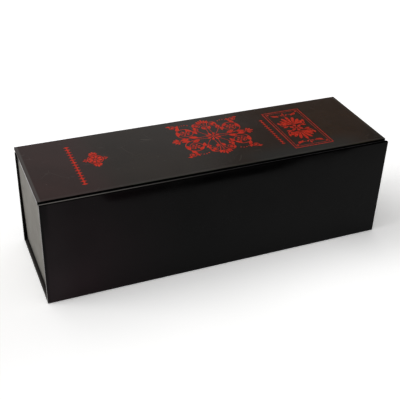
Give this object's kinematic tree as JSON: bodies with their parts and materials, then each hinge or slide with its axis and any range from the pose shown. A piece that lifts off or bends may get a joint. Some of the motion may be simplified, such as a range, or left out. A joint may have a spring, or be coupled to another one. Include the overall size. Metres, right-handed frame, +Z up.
{
  "type": "wine gift box",
  "caption": "Rigid paper-covered gift box for a bottle, with a lid and front flap that fold open and close on hidden magnets.",
  "frame": {"origin": "on the floor under the middle of the closed box (bottom centre of its overall box)", "axes": "+X along the box's length, left to right in the picture; -Y towards the front flap; +Z up"},
  "size_m": [0.345, 0.106, 0.1067],
  "materials": {
    "greyboard": "bare grey board, matte",
    "case_paper": "black art paper with a satin film",
    "red_foil": "red hot-stamping foil, satin metallic",
    "inner_paper": "uncoated black paper, matte",
    "fold_paper": "black folded paper, matte",
    "tray_paper": "smooth dark grey paper, satin",
    "corner_tape": "brown gummed paper, matte",
    "magnet": "nickel-plated magnet, bright",
    "keeper_steel": "plain sheet steel",
    "rest_foam": "black flocked foam, matte"
  },
  "bodies": {
    "tray_case": {"base_board": "greyboard", "base_wrap": "case_paper", "spine_board": "greyboard", "spine_wrap": "case_paper", "base_fold_strip": "fold_paper", "lid_hinge_strip": "fold_paper", "tray_floor_board": "greyboard", "tray_front_board": "greyboard", "tray_back_board": "greyboard", "tray_left_end_board": "greyboard", "tray_right_end_board": "greyboard", "corner_tape_front_left": "corner_tape", "corner_tape_back_left": "corner_tape", "corner_tape_front_right": "corner_tape", "corner_tape_back_right": "corner_tape", "tray_wrap": "tray_paper", "tray_floor_lining": "tray_paper", "keeper_disc_left": "keeper_steel", "keeper_disc_right": "keeper_steel", "heel_rest": "rest_foam", "shoulder_rest": "rest_foam", "neck_rest": "rest_foam"},
    "lid": {"lid_board": "greyboard", "lid_wrap": "case_paper", "lid_liner": "inner_paper", "flap_hinge_strip": "fold_paper"},
    "flap": {"flap_board": "greyboard", "flap_wrap": "case_paper", "flap_liner": "inner_paper", "magnet_left": "magnet", "magnet_right": "magnet"}
  },
  "joints": [
    {"name": "lid_hinge", "type": "hinge", "parent": "tray_case", "child": "lid", "pos_m": [0, 0.0515, 0.1052], "axis": [-1, 0, 0], "range_deg": [0, 180]},
    {"name": "flap_hinge", "type": "hinge", "parent": "lid", "child": "flap", "pos_m": [0, -0.0511, 0.1048], "axis": [-1, 0, 0], "range_deg": [0, 180]}
  ]
}
